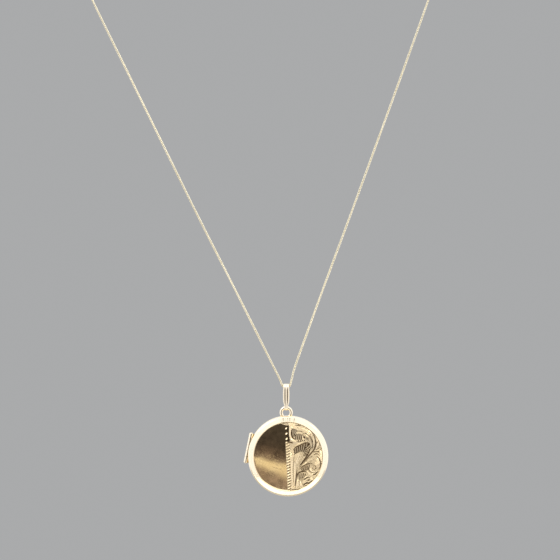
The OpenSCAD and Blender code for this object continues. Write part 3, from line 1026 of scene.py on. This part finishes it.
front_band_profile = [
    (FRONT_BAND_R, 0.05), (FRONT_BAND_R + 0.05, SEAM_GAP), (BAND_R, SEAM_GAP), (BAND_R, BAND_SHOULDER),
    (BAND_TOP_R, BAND_SHOULDER), (BAND_TOP_R, BAND_DEPTH), (SEAT_R, BAND_DEPTH), (SEAT_R, SEAT_DEPTH),
    (FRONT_BAND_R, SEAT_DEPTH)]
back_band_profile = [
    (LIP_INNER_R, 0.06 - LIP_HEIGHT), (LIP_INNER_R + 0.06, -LIP_HEIGHT), (LIP_R - 0.12, -LIP_HEIGHT),
    (LIP_R, 0.14 - LIP_HEIGHT), (LIP_R, SEAM_GAP), (BAND_R, SEAM_GAP), (BAND_R, BAND_SHOULDER),
    (BAND_TOP_R, BAND_SHOULDER), (BAND_TOP_R, BAND_DEPTH), (SEAT_R, BAND_DEPTH), (SEAT_R, SEAT_DEPTH),
    (LIP_INNER_R, SEAT_DEPTH)]
case_ring("front_inner_band", FRONT_SIDE, front_band_profile, inner_gold, "inner_gold", "front_band", True)
case_ring("back_snap_band", BACK_SIDE, back_band_profile, inner_gold, "inner_gold", "back_band", True)
glass_rim = ring_profile(0, GLASS_R, GLASS_NEAR, GLASS_FAR, 0.04)[2:6]
glass_profile = [(0, GLASS_NEAR)] + glass_rim + [(0, GLASS_FAR)]
card_profile = [(0, CARD_NEAR), (CARD_R, CARD_NEAR), (CARD_R, CARD_FAR), (0, CARD_FAR)]
for half, side in (("front", FRONT_SIDE), ("back", BACK_SIDE)):
    case_ring(f"{half}_photo_frame", side, frame_profile()[::-1], highlight_pale_gold, "inner_gold",
              f"photo_frame_{half}")
    pane = case_ring(f"{half}_photo_glass", side, glass_profile, glass, "clear_glass", f"photo_glass_{half}")
    pane.visible_shadow = False
    case_ring(f"{half}_photo_card", side, card_profile, card, "blank_card", f"photo_card_{half}")

# ---- hinge ----


def knuckle_piece(name, body, first, side, node):
    """Every second knuckle from the given one, each with the web that joins it to its half of the case."""
    length = (BARREL_LEN - (KNUCKLES - 1) * KNUCKLE_GAP) / KNUCKLES
    parts = []
    tone = []
    for i in range(first, KNUCKLES, 2):
        low = i * (length + KNUCKLE_GAP) - BARREL_LEN / 2
        barrel = lathe(ring_profile(PIN_BORE_R, BARREL_R, low, low + length), 64)
        far = (CASE_R - WALL / 2) ** 2 - max(abs(low), abs(low + length)) ** 2
        reach = HINGE_R - sqrt(far)
        near, deep = (WEB_NEAR, WEB_DEEP) if side > 0 else (-WEB_DEEP, -WEB_NEAR)
        web = box_mesh((-reach, near, low + 0.04), (-0.3, deep, low + length - 0.04))
        parts += [barrel, web]
        # the webs are painted dark as shade, where they sit in the gap between barrel and rim
        tone += [0.0] * len(barrel[0]) + [WEB_PAINTED_SHADE] * len(web[0])
    piece = make_piece(name, *placed(ON_HINGE, joined(*parts)), reeded_gold, body, "polished_gold",
                       [node], 35)
    set_painted_shade(piece, tone)


def hinge_pin():
    """The pin with a flattened round head at each end."""
    flat = 0.44
    ball = arc(0, PIN_HEAD_Z, PIN_HEAD_R, 0, 90, 9)
    head = [(r, PIN_HEAD_Z + (z - PIN_HEAD_Z) * flat) for r, z in ball[1:-1]]
    neck = [(PIN_R, PIN_HEAD_Z - 0.05), (PIN_HEAD_R, PIN_HEAD_Z - 0.02)]
    half = neck + head + [(0, PIN_HEAD_Z + PIN_HEAD_R * flat)]
    profile = [(r, -z) for r, z in half[::-1]] + half
    make_piece("hinge_pin_rod", *placed(ON_HINGE, lathe(profile, 64)), highlight_pale_gold, "case_back",
               "polished_gold", ["hinge_pin"])


knuckle_piece("front_knuckles", "case_front", 1, -1, "hinge_knuckles_front")
knuckle_piece("back_knuckles", "case_back", 0, 1, "hinge_knuckles_back")
hinge_pin()

# ---- hanging ring and bail ----


def hanging_ring():
    """An open ring of round wire whose two ends run into the back half's rim."""
    bow = circle_path(RING_R - RING_WIRE_R, -48 - HANG_TILT, 228 - HANG_TILT, 120)
    wire = sweep(bow, round_section(RING_WIRE_R, 40))
    make_piece("case_hanging_ring", *placed(move(BAIL_X, 0, RING_Z) @ IN_LOOP, wire), highlight_pale_gold,
               "case_back", "polished_gold", ["hanging_ring"])


def strap_path(inset, arc_count=40, side_count=26):
    """The strap's loop seen from the side, as (y, z) from the crown's centre, and its outward directions."""
    lean = degrees(asin((BAIL_TOP_R - BAIL_LOW_R) / BAIL_LEN))
    top = np.radians(np.linspace(-lean, 180 + lean, arc_count))
    low = np.radians(np.linspace(180 + lean, 360 - lean, arc_count // 2))
    down = np.linspace(0, 1, side_count)[1:-1]
    stations = [(a, 0) for a in top] + [(top[-1], t) for t in down]
    stations += [(a, 1) for a in low] + [(top[0], t) for t in down[::-1]]
    angles, t = np.array(stations).T
    radius = (BAIL_TOP_R - inset) * (1 - t) + (BAIL_LOW_R - inset) * t
    outward = np.stack([np.cos(angles), np.sin(angles)], axis=1)
    return outward * radius[:, None] + np.outer(t, (0, -BAIL_LEN)), outward


def bail():
    """A strap folded to a loop, wide in the middle and narrow at the ring, with three rounded reeds."""
    outer, outward = strap_path(0)
    inner, _ = strap_path(BAIL_WALL)
    across = np.linspace(-1, 1, 37)
    reeds = 2 * np.abs((1.3 * across + 0.5) % 1 - 0.5)
    heights = [-7.4, -6.9, -6.1, -5.3, -4.7, -3.9, -1.6, 0.4, 1.3]
    widths = [0.36, 0.38, 0.48, 0.72, 0.88, 0.97, 1.0, 0.88, 0.82]
    fine_heights = np.linspace(-7.4, 1.3, 60)
    stepped = np.pad(np.interp(fine_heights, heights, widths), 4, "edge")
    fine_widths = np.convolve(stepped, np.ones(9) / 9, "valid")
    rows = []
    tone = []
    for (y, z), (iy, iz), (oy, oz) in zip(outer, inner, outward):
        half = np.interp(z, fine_heights, fine_widths)
        reeded = np.clip((1.1 - z) / 0.6, 0, 1) * np.clip((z + 6.4) / 1.8, 0, 1)
        # painted shade in the deepest part of the grooves, from a little above the middle downwards
        dark = reeded * np.clip((0.3 - z) / 0.8, 0, 1)
        sink = REED_DEPTH * (0.25 + 0.75 * reeded) * reeds
        row = [(half * u, y - oy * s, z - oz * s) for u, s in zip(across, sink)]
        row += [(half * u, iy, iz) for u in np.linspace(1, -1, 9)]
        rows.append(row)
        tone += [dark * min(1.0, max(0.0, 3 * sunk - 1.2)) * (abs(u) < 0.8) for u, sunk in zip(across, reeds)]
        tone += [0.0] * 9
    strap = np.vstack(rows), tube_faces(len(rows), len(rows[0]), True)
    piece = make_piece("reeded_bail", *placed(move(BAIL_X, 0, CROWN_Z), strap), reeded_gold, "bail",
                       "polished_gold", ["bail"], 50)
    set_painted_shade(piece, tone)


hanging_ring()
bail()

# ---- floor, light and world ----


def floor_material():
    """Plain pale grey, very faintly clouded."""
    material, tree, shader = new_material("pale_floor")
    cloudy = tree.mix(tree.noise(6, 3), (0.46, 0.44, 0.40), (0.49, 0.47, 0.43))
    tree.put(cloudy, shader.inputs["Base Color"])
    shader.inputs["Roughness"].default_value = 0.8
    return material


def floor():
    verts, faces = lathe([(0, -362), (380, -362), (380, -360), (0, -360)], 96)
    make_piece("floor", verts, faces, floor_material())


def area_light(name, place, aim, width, height, radiance):
    """A soft, faintly cool oval light of the given size and brightness, turned towards aim."""
    data = bpy.data.lights.new(name, "AREA")
    data.shape = "ELLIPSE"
    data.size = width
    data.size_y = height
    data.color = (0.90, 0.93, 1.0)
    data.energy = radiance * pi * pi * width * height / 4
    light = bpy.data.objects.new(name, data)
    bpy.context.scene.collection.objects.link(light)
    light.location = place
    direction = np.array(aim) - np.array(place)
    pitch = atan2(hypot(direction[0], direction[1]), -direction[2])
    light.rotation_euler = (pitch, 0, atan2(direction[1], direction[0]) - pi / 2)


def studio_world():
    """A bright soft tent all round, with a dim room in front of the locket and a lit strip low in that room.

    The strip's upper edge is where rise is 0, and it runs down to where drop is 1."""
    world = bpy.data.worlds.new("studio")
    bpy.context.scene.world = world
    tree = Tree(world, "Generated")
    calc = tree.maths
    parts = tree.nodes.new("ShaderNodeSeparateXYZ")
    tree.put(tree.coordinates, parts.inputs["Vector"])
    x, y, z = parts.outputs
    stirred = calc("ADD", z, calc("MULTIPLY", calc("SUBTRACT", tree.noise(5, 2), 0.5), 0.12))
    rise = calc("ADD", calc("ADD", stirred, calc("MULTIPLY", x, 0.134)), 0.166)
    width = calc("MAXIMUM", calc("ADD", calc("MULTIPLY", x, 0.286), 0.139), 0.03)
    drop = calc("MULTIPLY", calc("DIVIDE", rise, width), -1.0)
    back_wall = tree.ramp(
        calc("ADD", rise, 0.5), (0.12, (0.12, 0.10, 0.10)), (0.32, (0.31, 0.26, 0.25)),
        (0.50, (0.29, 0.24, 0.23)), (0.56, (0.12, 0.095, 0.09)), (0.63, (0.065, 0.056, 0.056)),
        (0.95, (0.08, 0.075, 0.075)))
    speck = tree.ramp(tree.noise(26, 4), (0.38, 0.6), (0.62, 1.5))
    strip = tree.ramp(calc("MULTIPLY", calc("ADD", drop, 1.0), 0.25),
                      (0.235, 0.0), (0.30, 1.0), (0.40, 0.85), (0.53, 0.0))
    room = tree.mix(strip, tree.mix(0.8, back_wall, speck, "MULTIPLY"), (1.0, 0.93, 0.76))

    tent = tree.ramp(
        calc("ADD", calc("MULTIPLY", z, 0.5), 0.5), (0.05, (0.60, 0.60, 0.62)),
        (0.30, (1.18, 1.22, 1.40)), (0.55, (1.22, 1.28, 1.50)), (0.95, (1.40, 1.45, 1.60)))
    ahead = calc("ADD", calc("MULTIPLY", y, -0.994), calc("MULTIPLY", z, -0.112))
    front = tree.mix(tree.ramp(ahead, (0.855, 0.0), (0.90, 1.0)), tent, room)
    rear_room = tree.ramp(
        calc("ADD", calc("MULTIPLY", stirred, 1.2), 0.5), (0.1, (0.25, 0.24, 0.23)),
        (0.42, (0.55, 0.54, 0.53)), (0.55, (1.0, 1.0, 1.0)), (0.9, (0.45, 0.46, 0.48)))
    reflected = tree.mix(tree.ramp(y, (0.80, 0.0), (0.93, 1.0)), front, rear_room)
    eye = tree.nodes.new("ShaderNodeLightPath").outputs["Is Camera Ray"]
    tree.put(tree.mix(eye, reflected, (0.40, 0.405, 0.41)), tree.nodes["Background"].inputs["Color"])


floor()
studio_world()
area_light("key", (-0.35, -0.35, 0.25), (0, 0, -0.17), 0.3, 0.3, 3.0)
area_light("sparkle", (0.30, -0.30, 0.10), (0, 0, -0.17), 0.1, 0.1, 4.0)
area_light("low_fill", (0, -0.17, -0.35), (0, 0, -0.19), 0.5, 0.12, 1.3)
bpy.context.scene.view_settings.view_transform = "Standard"
